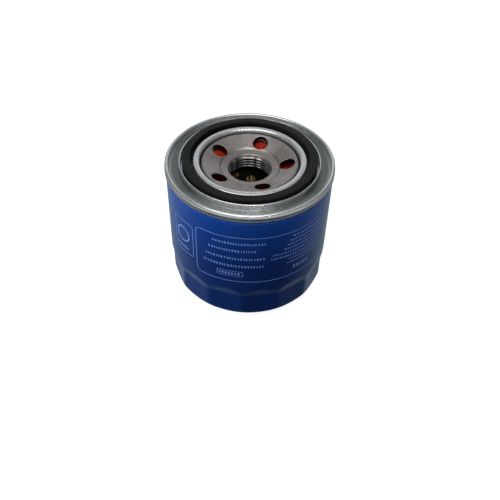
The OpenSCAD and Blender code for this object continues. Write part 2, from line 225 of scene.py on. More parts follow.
def bridge(bm, a, b):
    """Faces between two closed rings of vertices, either of which can be a single point"""
    count = max(len(a), len(b))
    for k in range(count):
        n = (k + 1) % count
        if len(a) > 1 and len(b) > 1:
            bm.faces.new((a[k], a[n], b[n], b[k]))
        elif len(a) > 1:
            bm.faces.new((a[k], a[n], b[0]))
        elif len(b) > 1:
            bm.faces.new((a[0], b[n], b[k]))


def lathe(outline, segments=192, shape=None, bm=None):
    """Turns a closed outline about Z; shape(r, z, angle) can give another radius"""
    bm = bm or bmesh.new()
    rings = []
    for r, z in outline:
        if r < 1e-6:
            rings.append([vertex(bm, 0, 0, z)])
            continue
        ring = []
        for k in range(segments):
            a = 2 * math.pi * k / segments
            radius = shape(r, z, a) if shape else r
            ring.append(vertex(bm, radius * math.cos(a), radius * math.sin(a), z))
        rings.append(ring)
    for a, b in zip(rings, rings[1:] + rings[:1]):
        bridge(bm, a, b)
    return bm


def prism(outline, start, end, place, bm=None):
    """Closed outline carried from start to end; place(x, y, s) gives the point in space"""
    bm = bm or bmesh.new()
    rings = [[vertex(bm, *place(x, y, s)) for x, y in outline] for s in (start, end)]
    bridge(bm, *rings)
    bm.faces.new(rings[0][::-1])
    bm.faces.new(rings[1])
    return bm


def tube(points, radius, sides=12):
    """A round bar along 3-D points, with closed ends"""
    bm = bmesh.new()
    rings = []
    for i, p in enumerate(points):
        ahead = Vector(points[min(i + 1, len(points) - 1)]) - Vector(points[max(i - 1, 0)])
        side = ahead.cross(Vector((0, 0, 1))).normalized()
        up = side.cross(ahead).normalized()
        turns = [2 * math.pi * k / sides for k in range(sides)]
        rings.append([vertex(bm, *(Vector(p) + radius * (math.cos(a) * side + math.sin(a) * up)))
                      for a in turns])
    for a, b in zip(rings, rings[1:]):
        bridge(bm, a, b)
    bm.faces.new(rings[0])
    bm.faces.new(rings[-1][::-1])
    return bm


def to_mesh(name, bm):
    bmesh.ops.remove_doubles(bm, verts=bm.verts, dist=1e-7)
    bmesh.ops.recalc_face_normals(bm, faces=bm.faces)
    mesh = bpy.data.meshes.new(name)
    bm.to_mesh(mesh)
    bm.free()
    obj = bpy.data.objects.new(name, mesh)
    bpy.context.scene.collection.objects.link(obj)
    return obj


def cut(obj, cutter, operation="DIFFERENCE"):
    """Applies one boolean and removes the cutter"""
    modifier = obj.modifiers.new("cut", "BOOLEAN")
    modifier.operation = operation
    modifier.solver = "EXACT"
    modifier.object = cutter
    bake(obj)
    bpy.data.objects.remove(cutter)


def bake(obj):
    """Replaces the mesh with what its modifiers make of it"""
    bpy.context.view_layer.update()
    evaluated = obj.evaluated_get(bpy.context.evaluated_depsgraph_get())
    mesh = bpy.data.meshes.new_from_object(evaluated)
    obj.modifiers.clear()
    obj.data = mesh


def piece(obj, material, nodes=(), body=ROOT, sharp=32):
    """Smooths and paints one finished piece, hides the CAD nodes it replaces and hangs it on its body
    """
    for face in obj.data.polygons:
        face.use_smooth = True
    obj.data.set_sharp_from_angle(angle=math.radians(sharp))
    weighted = obj.modifiers.new("normals", "WEIGHTED_NORMAL")
    weighted.keep_sharp = True
    bake(obj)
    obj.data.materials.clear()
    obj.data.materials.append(material)
    if nodes:
        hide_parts(*nodes)
    if body:
        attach(obj, body)
    return obj


# --- materials -------------------------------------------------------------------------------

class Shade:
    """A principled material whose colour, roughness and bump come from nodes in object space"""

    def __init__(self, name, metallic=0.0, **constants):
        self.material = bpy.data.materials.new(name)
        self.material.use_nodes = True
        self.nodes = self.material.node_tree.nodes
        self.shader = self.nodes["Principled BSDF"]
        self.shader.inputs["Metallic"].default_value = metallic
        for key, value in constants.items():
            self.shader.inputs[key.replace("_", " ")].default_value = value
        self.object = self.nodes.new("ShaderNodeTexCoord").outputs["Object"]
        self.normal = None

    def link(self, a, b):
        self.material.node_tree.links.new(a, b)

    def put(self, socket, value):
        if isinstance(value, bpy.types.NodeSocket):
            self.link(value, socket)
        elif isinstance(value, (tuple, list)) and len(value) == 3 and socket.type == "RGBA":
            socket.default_value = (*value, 1)
        else:
            socket.default_value = value

    def math(self, operation, a, b=0.0, c=0.0):
        node = self.nodes.new("ShaderNodeMath")
        node.operation = operation
        for socket, value in zip(node.inputs, (a, b, c)):
            self.put(socket, value)
        return node.outputs[0]

    def vector(self, operation, a, b=(0, 0, 0)):
        node = self.nodes.new("ShaderNodeVectorMath")
        node.operation = operation
        self.put(node.inputs[0], a)
        if isinstance(b, (int, float)):
            node.inputs["Scale"].default_value = b
        else:
            self.put(node.inputs[1], b)
        return node.outputs["Value" if operation == "LENGTH" else "Vector"]

    def parts(self, vector):
        node = self.nodes.new("ShaderNodeSeparateXYZ")
        self.put(node.inputs[0], vector)
        return node.outputs

    def join(self, x=0.0, y=0.0, z=0.0):
        node = self.nodes.new("ShaderNodeCombineXYZ")
        for socket, value in zip(node.inputs, (x, y, z)):
            self.put(socket, value)
        return node.outputs[0]

    def flat(self):
        """The place without its height"""
        x, y, z = self.parts(self.object)
        return self.join(x, y, 0.0)

    def radius(self):
        return self.vector("LENGTH", self.flat())

    def height(self):
        return self.parts(self.object)["Z"]

    def out_and_up(self, out_scale, up_scale):
        """Coordinates that change with radius and height only, for turned and rolled marks"""
        return self.join(self.math("MULTIPLY", self.radius(), out_scale),
                         self.math("MULTIPLY", self.height(), up_scale), 0.0)

    def around(self, turn_scale, out_scale, up_scale=0.0):
        """Coordinates that change mainly around the axis, with no break at any angle"""
        direction = self.vector("SCALE", self.vector("NORMALIZE", self.flat()), turn_scale)
        out = self.math("MULTIPLY", self.radius(), out_scale)
        up = self.math("MULTIPLY", self.height(), up_scale)
        return self.vector("ADD", direction, self.join(out, out, up))

    def noise(self, scale, detail=3.0, rough=0.5, vector=None):
        node = self.nodes.new("ShaderNodeTexNoise")
        self.put(node.inputs["Vector"], vector or self.object)
        node.inputs["Scale"].default_value = scale
        node.inputs["Detail"].default_value = detail
        node.inputs["Roughness"].default_value = rough
        return node.outputs["Fac"]

    def spots(self, scale):
        node = self.nodes.new("ShaderNodeTexVoronoi")
        self.put(node.inputs["Vector"], self.object)
        node.inputs["Scale"].default_value = scale
        return node.outputs["Distance"]

    def span(self, value, from_low, from_high, low_value=0.0, high_value=1.0):
        """Turns the range from_low to from_high into low_value to high_value"""
        node = self.nodes.new("ShaderNodeMapRange")
        node.clamp = True
        for socket, v in zip(node.inputs, (value, from_low, from_high, low_value, high_value)):
            self.put(socket, v)
        return node.outputs[0]

    def ramp(self, length, start, end, low_value=0.0, high_value=1.0):
        """span() of a length, with its two ends in millimetres"""
        return self.span(length, start * MM, end * MM, low_value, high_value)

    def total(self, *terms):
        """The sum of (value, weight) terms"""
        sums = [self.math("MULTIPLY", value, weight) for value, weight in terms]
        while len(sums) > 1:
            sums[:2] = [self.math("ADD", sums[0], sums[1])]
        return sums[0]

    def mix(self, factor, a, b):
        node = self.nodes.new("ShaderNodeMix")
        node.data_type = "RGBA"
        self.put(node.inputs["Factor"], factor)
        self.put(node.inputs[6], a)
        self.put(node.inputs[7], b)
        return node.outputs[2]

    def shaded_inside(self, colour, radius):
        """The colour with painted shade: nearly black within a radius in millimetres of the axis"""
        if radius is None:
            return colour
        near = self.ramp(self.radius(), radius - 0.2, radius + 0.2, 1.0, 0.0)
        return self.mix(near, colour, (0.012, 0.008, 0.007))

    def colour(self, value):
        self.put(self.shader.inputs["Base Color"], value)

    def roughness(self, value):
        self.put(self.shader.inputs["Roughness"], value)

    def bump(self, height, distance, strength=1.0):
        """Adds one layer of relief; distance is its depth in millimetres"""
        node = self.nodes.new("ShaderNodeBump")
        node.inputs["Strength"].default_value = strength
        node.inputs["Distance"].default_value = distance * MM
        self.put(node.inputs["Height"], height)
        if self.normal:
            self.link(self.normal, node.inputs["Normal"])
        self.normal = node.outputs[0]
        self.link(self.normal, self.shader.inputs["Normal"])


def enamel():
    """Glossy blue paint, with painted shade that darkens it towards the closed end"""
    s = Shade("blue_enamel", Specular_IOR_Level=1.0, Specular_Tint=(0.30, 0.62, 1.0, 1.0),
              Sheen_Weight=0.28, Sheen_Roughness=0.4, Sheen_Tint=(0.20, 0.58, 1.0, 1.0))
    cloud = s.noise(60, 3)
    shaded_lower = s.mix(s.span(cloud, 0.35, 0.65), (0.002, 0.013, 0.107), (0.003, 0.015, 0.118))
    upper_colour = s.mix(s.span(cloud, 0.35, 0.65), (0.003, 0.037, 0.245), (0.004, 0.041, 0.265))
    # Painted shade: from 62 mm down to 34 mm the paint darkens towards the closed end, where less light
    # falls
    s.colour(s.mix(s.ramp(s.height(), 34, 62), shaded_lower, upper_colour))
    s.roughness(s.span(s.noise(900, 2), 0.3, 0.7, 0.18, 0.25))
    s.bump(s.noise(1400, 2), 0.012, 0.25)
    return s.material


def print_ink():
    s = Shade("printed_marks")
    grain = s.noise(1500, 3)
    s.colour(s.mix(s.span(grain, 0.3, 0.6), (0.10, 0.19, 0.52), (0.14, 0.24, 0.60)))
    s.roughness(s.span(grain, 0.3, 0.7, 0.35, 0.5))
    return s.material


def steel(name, dark, light, rough_low, rough_high, ring_scale=2500, ring_depth=0.004, shade_r=None):
    """Sheet steel with fine turned lines and soft stains; within the given radius of the axis it is
    nearly black with painted shade
    """
    s = Shade(name, 1.0)
    rings = s.noise(1.0, 2, 0.6, s.out_and_up(ring_scale, ring_scale))
    cloud = s.noise(120, 4, 0.6)
    tone = s.total((cloud, 0.7), (rings, 0.3))
    s.colour(s.shaded_inside(s.mix(s.span(tone, 0.35, 0.65), dark, light), shade_r))
    s.roughness(s.span(s.total((rings, 0.5), (cloud, 0.5)), 0.35, 0.65, rough_low, rough_high))
    s.bump(rings, ring_depth, 0.6)
    return s.material


def zinc_sheet():
    """Bright zinc-plated sheet, with darker greenish painted shade down in the channel, heaviest on the
    left and right sides
    """
    s = Shade("zinc_sheet", 0.93)
    rings = s.noise(1.0, 2, 0.6, s.out_and_up(1200, 1200))
    cloud = s.noise(120, 4, 0.6)
    tone = s.total((cloud, 0.7), (rings, 0.3))
    bright = s.mix(s.span(tone, 0.35, 0.65), (0.62, 0.63, 0.625), (0.74, 0.75, 0.75))
    # Painted shade in the channel: between the lip and the seam, deepest down, and most on the left and
    # right sides
    outside_lip = s.ramp(s.radius(), LIP_R + 0.3, LIP_R + 0.5)
    inside_seam = s.ramp(s.radius(), SEAM_R - 3.6, SEAM_R - 2.1, 1.0, 0.35)
    deep = s.ramp(s.height(), FLANGE + 0.9, SEAM_TOP - 0.1, 1.0, 0.0)
    side_shade = s.ramp(s.math("ABSOLUTE", s.parts(s.object)["Y"]), 20, 34, 0.88, 0.2)
    channel_shade = s.math("MULTIPLY", outside_lip, inside_seam)
    channel_shade = s.math("MULTIPLY", s.math("MULTIPLY", channel_shade, deep), side_shade)
    s.colour(s.mix(channel_shade, bright, (0.11, 0.135, 0.125)))
    s.roughness(s.math("ADD", s.span(tone, 0.35, 0.65, 0.2, 0.3), s.math("MULTIPLY", channel_shade, 0.15)))
    s.bump(rings, 0.0015, 0.5)
    return s.material


def plate_steel():
    """Satin pressed steel, with painted shade on the walls of its holes and painted light and shade in
    patches round its thread
    """
    s = Shade("plate_steel", 1.0)
    rings = s.noise(1.0, 2, 0.6, s.out_and_up(900, 900))
    streak = s.noise(1.0, 3, 0.6, s.around(30, 60))
    cloud = s.noise(120, 4, 0.6)
    tone = s.total((cloud, 0.5), (rings, 0.2), (streak, 0.5))
    normal = s.nodes.new("ShaderNodeTexCoord").outputs["Normal"]
    # Painted shade: the walls of the inlet holes are nearly black
    upright = s.span(s.math("ABSOLUTE", s.parts(normal)["Z"]), 0.15, 0.38, 1.0, 0.0)
    wall = s.math("MULTIPLY", upright, s.ramp(s.radius(), CREST_R - 0.9, CREST_R - 0.5, 1.0, 0.0))
    bore = s.ramp(s.radius(), MAJOR_R - 0.2, MAJOR_R + 0.3, 1.0, 0.0)
    open_face = s.mix(s.span(tone, 0.45, 0.75), (0.272, 0.243, 0.230), (0.42, 0.378, 0.358))
    # Painted light and shade in the thread: near black on some sides of the bore, lighter on others
    light_and_shade_patch = s.span(s.noise(1.0, 1, 0.5, s.around(2.6, 0)), 0.40, 0.58)
    thread_light_and_shade = s.mix(light_and_shade_patch, (0.05, 0.045, 0.05), (0.34, 0.32, 0.31))
    s.colour(s.mix(bore, s.mix(wall, open_face, (0.035, 0.03, 0.028)), thread_light_and_shade))
    satin = s.span(s.total((rings, 0.5), (cloud, 0.5)), 0.35, 0.65, 0.34, 0.46)
    cut_wall = s.math("ADD", s.span(bore, 0.0, 1.0, 1.0, 0.16), s.math("MULTIPLY", wall, 0.4))
    s.roughness(s.math("MINIMUM", satin, cut_wall))
    s.bump(rings, 0.003, 0.6)
    s.bump(s.span(s.spots(1100), 0.0, 0.35), 0.02, 0.5)
    return s.material


def rubber(name, dark, light, rough=0.5, depth=0.01, shade_r=None):
    """Moulded rubber; within the given radius in millimetres of the axis it is nearly black with
    painted shade
    """
    s = Shade(name, Specular_IOR_Level=0.14)
    grain = s.noise(900, 4, 0.6)
    cloud = s.noise(90, 3)
    s.colour(s.shaded_inside(s.mix(s.span(cloud, 0.35, 0.65), dark, light), shade_r))
    s.roughness(s.span(grain, 0.3, 0.7, rough - 0.07, rough + 0.08))
    s.bump(grain, depth, 0.4)
    return s.material


def paper():
    s = Shade("pleated_paper")
    fibre = s.noise(1.0, 5, 0.7, s.vector("MULTIPLY", s.object, (2600, 2600, 900)))
    cloud = s.noise(150, 3)
    fade = s.mix(s.span(cloud, 0.3, 0.7), (0.50, 0.31, 0.085), (0.66, 0.45, 0.16))
    s.colour(s.mix(s.span(fibre, 0.45, 0.75, 0.0, 0.35), fade, (0.8, 0.62, 0.32)))
    s.roughness(s.span(fibre, 0.3, 0.7, 0.75, 0.95))
    s.bump(fibre, 0.03, 0.5)
    return s.material


def potting():
    s = Shade("potting_adhesive")
    cloud = s.noise(200, 4)
    s.colour(s.mix(s.span(cloud, 0.35, 0.65), (0.62, 0.54, 0.33), (0.76, 0.69, 0.47)))
    s.roughness(s.span(cloud, 0.3, 0.7, 0.35, 0.55))
    s.bump(cloud, 0.08, 0.5)
    return s.material


ENAMEL = enamel()
INK = print_ink()
ZINC = zinc_sheet()
PLATE = plate_steel()
TIN = ((0.55, 0.55, 0.52), (0.66, 0.66, 0.63), 0.28, 0.42)
TINPLATE = steel("tinplate", *TIN)
# Painted shade: the top cap is nearly black near the axis, below the hub
CAP_TINPLATE = steel("shaded_tinplate", *TIN, shade_r=PAINTED_SHADE_R)
TUBE_STEEL = steel("oiled_steel", (0.13, 0.13, 0.12), (0.2, 0.2, 0.185), 0.4, 0.55)
SPRING_STEEL = steel("spring_steel", (0.24, 0.24, 0.25), (0.34, 0.34, 0.35), 0.3, 0.42)
WELD = steel("spot_weld", (0.25, 0.23, 0.21), (0.42, 0.39, 0.36), 0.4, 0.6)
GASKET_RUBBER = rubber("gasket_rubber", (0.005, 0.005, 0.005), (0.009, 0.009, 0.0087), 0.42)
# Painted shade: the red silicone is nearly black near the axis, below the hub
SILICONE = rubber("red_silicone", (0.48, 0.028, 0.010), (0.60, 0.045, 0.015), 0.5, shade_r=PAINTED_SHADE_R)
FACING = rubber("valve_facing", (0.02, 0.02, 0.02), (0.035, 0.035, 0.034), 0.55)
COMPOUND = rubber("seam_compound", (0.5, 0.47, 0.37), (0.6, 0.57, 0.45), 0.6)
PAPER = paper()
POTTING = potting()


# --- the can ---------------------------------------------------------------------------------

def flattened(r, z, angle):
    """Radius of the can's wall where the wrench flats bring it in, with eased corners"""
    ease, slope, sharpness = 0.7, 1 / 3, 170
    rise = ease * math.log1p(math.exp(min((z - FLAT_TOP) / ease, 40))) * slope
    inset = 0.0 if r > wall_at(z) - SHEET / 2 else SHEET
    total = (r / APOTHEM) ** -sharpness
    for i in range(FLATS):
        turn = angle - FLAT_ANGLE - 2 * math.pi * i / FLATS
        facing = math.cos(turn)
        if facing > 0.9:
            total += ((APOTHEM - inset + rise) / facing / APOTHEM) ** -sharpness
    return APOTHEM * total ** (-1 / sharpness)


def wall_at(z):
    """Outer radius of the round can at height z, corner included"""
    if z >= CORNER_R:
        return CAN_R
    depth = CORNER_R - max(z, 0)
    return CAN_R - CORNER_R + math.sqrt(max(CORNER_R ** 2 - depth ** 2, 0))


def build_can():
    mid = SHEET / 2
    recess = fillet([(0, BASE_RECESS + mid), (RECESS_R, BASE_RECESS + mid), (FOOT_R, mid),
                     (CAN_R - CORNER_R, mid)], 1.6, closed=False, steps=6)
    corner = arc(CAN_R - CORNER_R, CORNER_R, CORNER_R - mid, 270, 360, 18)
    wall = refined([(CAN_R - mid, CORNER_R), (CAN_R - mid, FLATS_END)], 0.6)
    neck = fillet([(CAN_R - mid, FLATS_END), (CAN_R - mid, NECK + 0.1),
                   (WALL_UNDER_SEAM_R, NECK + 1), (WALL_UNDER_SEAM_R, NECK + 2)], 0.5, closed=False)
    fold = arc(WALL_UNDER_SEAM_R + LAYER, SEAM_TOP - 2 * LAYER - SHEET / 2 - 0.15, LAYER, 180, 0, 10)
    path = recess + corner[1:] + wall[1:] + neck[1:] + fold + [(HOOK_R, SEAM_TOP - 2.6)]

    def shape(r, z, angle):
        return flattened(r, z, angle) if r > FLATS_FROM_R and z < FLATS_END else r

    bm = lathe(domed(path, -SHEET), FLATS * 22, shape)
    piece(to_mesh("can_shell", bm), ENAMEL, ["can"])


# --- the print on the can: plain bars, a ring and outlines, with no lettering ------------------

INK_LIFT, INK_DEPTH = 0.03, 0.02


def on_can(u, z, lift):
    """The point u millimetres round from the side that faces -Y, at height z"""
    a = u / CAN_R - math.pi / 2
    return ((CAN_R + lift) * math.cos(a), (CAN_R + lift) * math.sin(a), z)


def ribbon(bm, path, width, closed=False):
    """A flat line of ink along (u, z) points"""
    sides = [offset(path, s * width / 2, closed) for s in (1, -1)]
    columns = [[vertex(bm, *on_can(*sides[s][k], lift))
                for s, lift in ((0, -INK_DEPTH), (1, -INK_DEPTH), (1, INK_LIFT), (0, INK_LIFT))]
               for k in range(len(path))]
    for a, b in zip(columns, columns[1:] + columns[:1] if closed else columns[1:]):
        bridge(bm, a, b)
    if not closed:
        bm.faces.new(columns[0][::-1])
        bm.faces.new(columns[-1])


def along(degrees):
    return math.radians(degrees) * CAN_R


def panel(bm, left, right, bottom, top, corner, line):
    """A rounded outline between two directions in degrees"""
    x0, x1 = along(left), along(right)
    corners = fillet([(x0, bottom), (x1, bottom), (x1, top), (x0, top)], corner, steps=6)
    path = refined(corners + corners[:1], 1.0)[:-1]
    ribbon(bm, path, line, closed=True)


def bars(bm, rng, left, right, z, height, shortest, longest, space):
    """A row of plain bars of uneven lengths"""
    u, end = along(left), along(right)
    while u + shortest < end:
        length = min(rng.uniform(shortest, longest), end - u)
        ribbon(bm, refined([(u, z), (u + length, z)], 0.8), height)
        u += length + space * rng.uniform(0.8, 1.3)


def build_print():
    """The marks hang below the seam: each row is its drop from there and its two ends in degrees"""
    rng = random.Random(5)
    top = SEAM_TOP - 0.7
    bm = bmesh.new()
    panel(bm, -37, 84, top - 41, top - 12.8, 3.2, 0.36)
    for down, left, right in ((16.6, -24, 12), (21.0, -27, 7), (26.0, -29, 12), (30.8, -31, 12)):
        bars(bm, rng, left, right, top - down, 1.25, 0.45, 0.9, 0.6)
    panel(bm, -21, -3, top - 37.6, top - 34.4, 0.5, 0.24)
    bars(bm, rng, -19.5, -4.5, top - 36, 1.4, 0.5, 1.1, 0.6)
    close_rows = ((31, 60), (29, 60), (27, 60), (25, 59), (17, 58), (16, 57), (29, 56), (28, 54))
    for row, (left, right) in enumerate(close_rows):
        bars(bm, rng, left, right, top - 15.4 - 2.35 * row, 0.85, 0.4, 1.2, 0.6)
    bars(bm, rng, 33, 46, top - 36, 1.9, 0.6, 1.2, 0.7)
    panel(bm, -59, -40, top - 34.5, top - 15.0, 1.5, 0.36)
    ribbon(bm, arc(along(-50), top - 23.5, 4.2, 0, 360, 48)[:-1], 0.8, closed=True)
    bars(bm, rng, -57, -43, top - 31.5, 1.0, 1.0, 2.2, 0.7)
    piece(to_mesh("print_marks", bm), INK)


# --- the lid with the rolled seam ------------------------------------------------------------

def seam_side(r, top, bottom):
    """The seam's outer layer, bowed out a little between its upper and lower turns"""
    steps, upper_bow, lower_bow = 10, 0.2, 0.06
    points = []
    for i in range(steps + 1):
        share = i / steps
        bow = upper_bow if share < 0.5 else lower_bow
        points.append((r - bow * (1 - 2 * share) ** 2, top + (bottom - top) * share))
    return points


def build_lid():
    """One sheet, from the inner bead across the gasket's groove, lip and channel to the seam's hook"""
    bend, fold = 0.35, 0.28
    chuck_r = SEAM_R - SHEET / 2 - 4 * LAYER
    bead_in, bead_out = BEAD_R - BEAD_HALF, BEAD_R + BEAD_HALF
    bead_z = FLANGE + LIP_H - BEAD_SHOULDER - SHEET / 2
    inner_z = bead_z + BEAD_SHOULDER - BEAD_INNER_SHOULDER
    lip_z = FLANGE + LIP_H - fold - SHEET / 2
    low_bend_z = FLANGE + SHEET / 2 + bend
    roll = 2 * LAYER
    side_top, side_bottom, hook_z = SEAM_TOP - 0.67, SEAM_TOP - 2.8, SEAM_TOP - 3.1
    path = (
        [(bead_in, bead_z - 1.3)]
        + arc(bead_in + BEAD_INNER_SHOULDER, inner_z, BEAD_INNER_SHOULDER, 180, 92, 14)
        + arc(bead_out - BEAD_SHOULDER, bead_z, BEAD_SHOULDER, 88, 0, 12)
        + arc(bead_out + bend, low_bend_z, bend, 180, 270, 6)
        + arc(LIP_R - fold - bend, low_bend_z, bend, 270, 360, 6)
        + arc(LIP_R, lip_z, fold, 180, 0, 10)
        + arc(LIP_R + fold + bend, low_bend_z, bend, 180, 270, 6)
        + arc(chuck_r - bend, low_bend_z, bend, 270, 360, 6)
        + arc(chuck_r + roll, SEAM_TOP - roll - SHEET / 2, roll, 180, 40, 14)
        + seam_side(SEAM_R - SHEET / 2, side_top, side_bottom)
        + arc(HOOK_R, hook_z, LAYER, -20, -180, 9)
        + [(HOOK_R - LAYER, SEAM_TOP - 1.65)])
    piece(to_mesh("lid_sheet", lathe(sheet(path, SHEET), 256)), ZINC, ["seaming_lid"])


def build_gasket():
    bottom, top = low("base_gasket"), high("base_gasket")
    inner, outer = 28.0, reach("base_gasket")
    foot_r, foot_z = BEAD_R + BEAD_HALF + 0.45, bottom + 1.5
    outline = fillet([(foot_r, bottom), (outer, bottom), (outer, top), (inner, top),
                      (inner, foot_z), (foot_r, foot_z)],
                     [0.1, 0.6, 0.6, 0.6, 0.3, 0.25], steps=6)
    piece(to_mesh("gasket_ring", lathe(outline, 256)), GASKET_RUBBER, ["base_gasket"])


# --- the tapping plate -----------------------------------------------------------------------

def thread(r, z, angle):
    """Radius of the bore's wall: a right-hand helix that fades into a chamfer at each end"""
    if r > MINOR_R + 1e-6:
        return r
    crest, flank, softness = 0.14, 0.66, 0.35
    turn = (z / PITCH - angle / (2 * math.pi)) % 1
    groove = min(max((abs(2 * turn - 1) - crest) / flank, 0), 1)
    rounded = groove * groove * (3 - 2 * groove)
    depth = rounded * softness + groove * (1 - softness)
    mouth_cone = MAJOR_R + (z - MOUTH)
    end_cone = MAJOR_R - (z - HUB_END)
    return max(MINOR_R + depth * (MAJOR_R - MINOR_R), mouth_cone, end_cone)


def plate_outline():
    """From the flange's edge over the crest, down the dish and the bore, and back underneath"""
    centre_z = high("tapping_plate") - CREST_BEND
    flank = math.radians(FLANK)
    flange_r = (CREST_R + CREST_BEND * math.sin(flank)
                + (centre_z + CREST_BEND * math.cos(flank) - FLANGE) / math.tan(flank))
    start_r = CREST_R - CREST_BEND * math.sin(DISH)
    start_z = centre_z + CREST_BEND * math.cos(DISH)
    hub_z = start_z - (start_r - HUB_BEND_R) * math.tan(DISH)
    outer_r, ease, thread_step = reach("tapping_plate"), 0.3, 0.075
    crest_bend = arc(CREST_R, centre_z, CREST_BEND, 90 - FLANK, 90 + math.degrees(DISH), 12)
    dish = [(flange_r, FLANGE)] + crest_bend + [(HUB_BEND_R, hub_z)]
    under = [(r, z - PLATE_T) for r, z in dish[::-1]]
    collar = [(HUB_BEND_R, hub_z), (HUB_BEND_R - 0.8, hub_z - 0.65),
              (MAJOR_R + 0.6, MOUTH + 0.6), (MAJOR_R + 0.02, MOUTH + 0.02)]
    top = ([(outer_r, FLANGE - ease), (outer_r - ease, FLANGE)]
           + fillet([(outer_r - ease, FLANGE), (flange_r, FLANGE), dish[1]], 0.5, False)[1:-1]
           + dish[1:-1]
           + fillet([dish[-2]] + collar, [0, 0.25, 0.9, 0.35, 0], False, 6)[1:])
    rows = int((MOUTH - HUB_END) / thread_step)
    bore = [(MINOR_R, MOUTH - (MOUTH - HUB_END) * k / rows) for k in range(1, rows)]
    bottom = fillet([(MAJOR_R, HUB_END), (HUB_R, HUB_END), (HUB_R, HUB_NECK), under[0]],
                    [0, ease, 0.8, 0], False)
    rim = fillet([under[-2], under[-1], (outer_r, FLANGE - PLATE_T), (outer_r, FLANGE - ease)],
                 [0, 0.5, ease, 0], False)
    return top + bore + bottom[:-1] + under[:-1] + rim[1:-1]


def inlet_cutter(turn):
    """An inlet's cylinder with a flared mouth that follows the dish, turned into its place"""
    top, bottom, flare, crest_drop = high("tapping_plate"), MOUTH - PLATE_T - 3, 0.2, 0.05
    hole = bmesh.new()
    lathe([(0, bottom), (INLET_HOLE_R, bottom), (INLET_HOLE_R, top + 1), (0, top + 1)], 56, bm=hole)
    for v in hole.verts:
        v.co.x += INLET_R * MM
    turns = (polar(flare, degrees) for degrees in (0, 30, 60, 80))
    curve = [(INLET_HOLE_R + flare - x, z - flare) for x, z in turns]
    outside = INLET_HOLE_R + flare + 0.5
    mouth = bmesh.new()
    lathe([(0, -2), (INLET_HOLE_R - 0.4, -2)] + curve + [(outside, 0.08), (outside, 0.6), (0, 0.6)],
          56, bm=mouth)
    mouth_z = top - crest_drop - (CREST_R - CREST_BEND * math.sin(DISH) - INLET_R) * math.tan(DISH)
    tilt = Matrix.Rotation(-DISH, 4, "Y")
    stretch = Matrix.Diagonal((1 / math.cos(DISH), 1, 1, 1))
    place = Matrix.Translation((INLET_R * MM, 0, mouth_z * MM)) @ tilt @ stretch
    bmesh.ops.transform(mouth, matrix=place, verts=mouth.verts)
    shape = to_mesh("hole", hole)
    cut(shape, to_mesh("flare", mouth), "UNION")
    shape.data.transform(Matrix.Rotation(turn, 4, "Z"))
    return shape


def build_plate():
    obj = to_mesh("tapping_plate_body", lathe(plate_outline(), 176, thread))
    cutter = bmesh.new()
    for i in range(INLETS):
        shape = inlet_cutter(math.radians(INLET_ANGLE + 360 * i / INLETS))
        cutter.from_mesh(shape.data)
        bpy.data.objects.remove(shape)
    cut(obj, to_mesh("holes", cutter))
    piece(obj, PLATE, ["tapping_plate"], sharp=38)


# --- anti-drain-back valve: the sleeve and the membrane --------------------------------------

def build_drainback_sleeve():
    bottom, foot, top = low("anti_drainback_valve"), HUB_END - GAP, HUB_NECK - 0.9
    outline = fillet([(ELEMENT_BORE_R, bottom), (SLEEVE_R, bottom), (SLEEVE_R, top - 0.2),
                      (SLEEVE_R - 0.2, top), (HUB_R + GAP, top), (HUB_R + GAP, foot),
                      (ELEMENT_BORE_R, foot)], [0.25, 0.5, 0.2, 0.2, 0.25, 0.2, 0.3])
    piece(to_mesh("drainback_sleeve", lathe(outline, 160)), SILICONE, ["anti_drainback_valve"])


def build_drainback_membrane():
    half, root_r, root = 0.4, SLEEVE_R - 0.6, HUB_END - 0.4
    lip_r, lip_z = reach("anti_drainback_valve"), high("anti_drainback_valve")
    knee_r, knee_z = INLET_R + 2.3, root + 3.5
    outline = fillet([(root_r, root - half), (knee_r + half / 2, knee_z - half),
                      (lip_r, lip_z - 2 * half), (lip_r, lip_z), (lip_r - 0.6, lip_z),
                      (knee_r - half / 2, knee_z + half), (root_r, root + half)],
                     [0, 2.5, 0.3, 0.2, 0.2, 2.5, 0], steps=8)
    membrane = piece(to_mesh("drainback_membrane", lathe(outline, 160)), SILICONE,
                     ["anti_drainback_valve"], body=None)
    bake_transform(membrane)


# --- the element -----------------------------------------------------------------------------

def build_upper_cap():
    top = high("upper_end_cap")
    path = fillet([(ELEMENT_BORE_R, top - 1.2), (ELEMENT_BORE_R, top - CAP_T / 2),
                   (SKIRT_R, top - CAP_T / 2), (SKIRT_R, top - CAP_SKIRT)], 0.6, False, 6)
    piece(to_mesh("element_cap_top", lathe(sheet(path, CAP_T), 192)), CAP_TINPLATE, ["upper_end_cap"])


def build_lower_cap():
    bottom, port = low("lower_end_cap"), 9.8
    path = fillet([(port, bottom + CAP_T / 2), (SKIRT_R, bottom + CAP_T / 2),
                   (SKIRT_R, bottom + CAP_SKIRT)], 0.6, False, 6)
    piece(to_mesh("element_cap_bottom", lathe(sheet(path, CAP_T), 192)), TINPLATE,
          ["lower_end_cap"])


def build_potting():
    for node, name in (("upper_adhesive", "potting_top"), ("lower_adhesive", "potting_bottom")):
        ring = [(TUBE_R + GAP, low(node)), (reach(node), low(node)),
                (reach(node), high(node)), (TUBE_R + GAP, high(node))]
        piece(to_mesh(name, lathe(fillet(ring, 0.25), 160)), POTTING, [node])


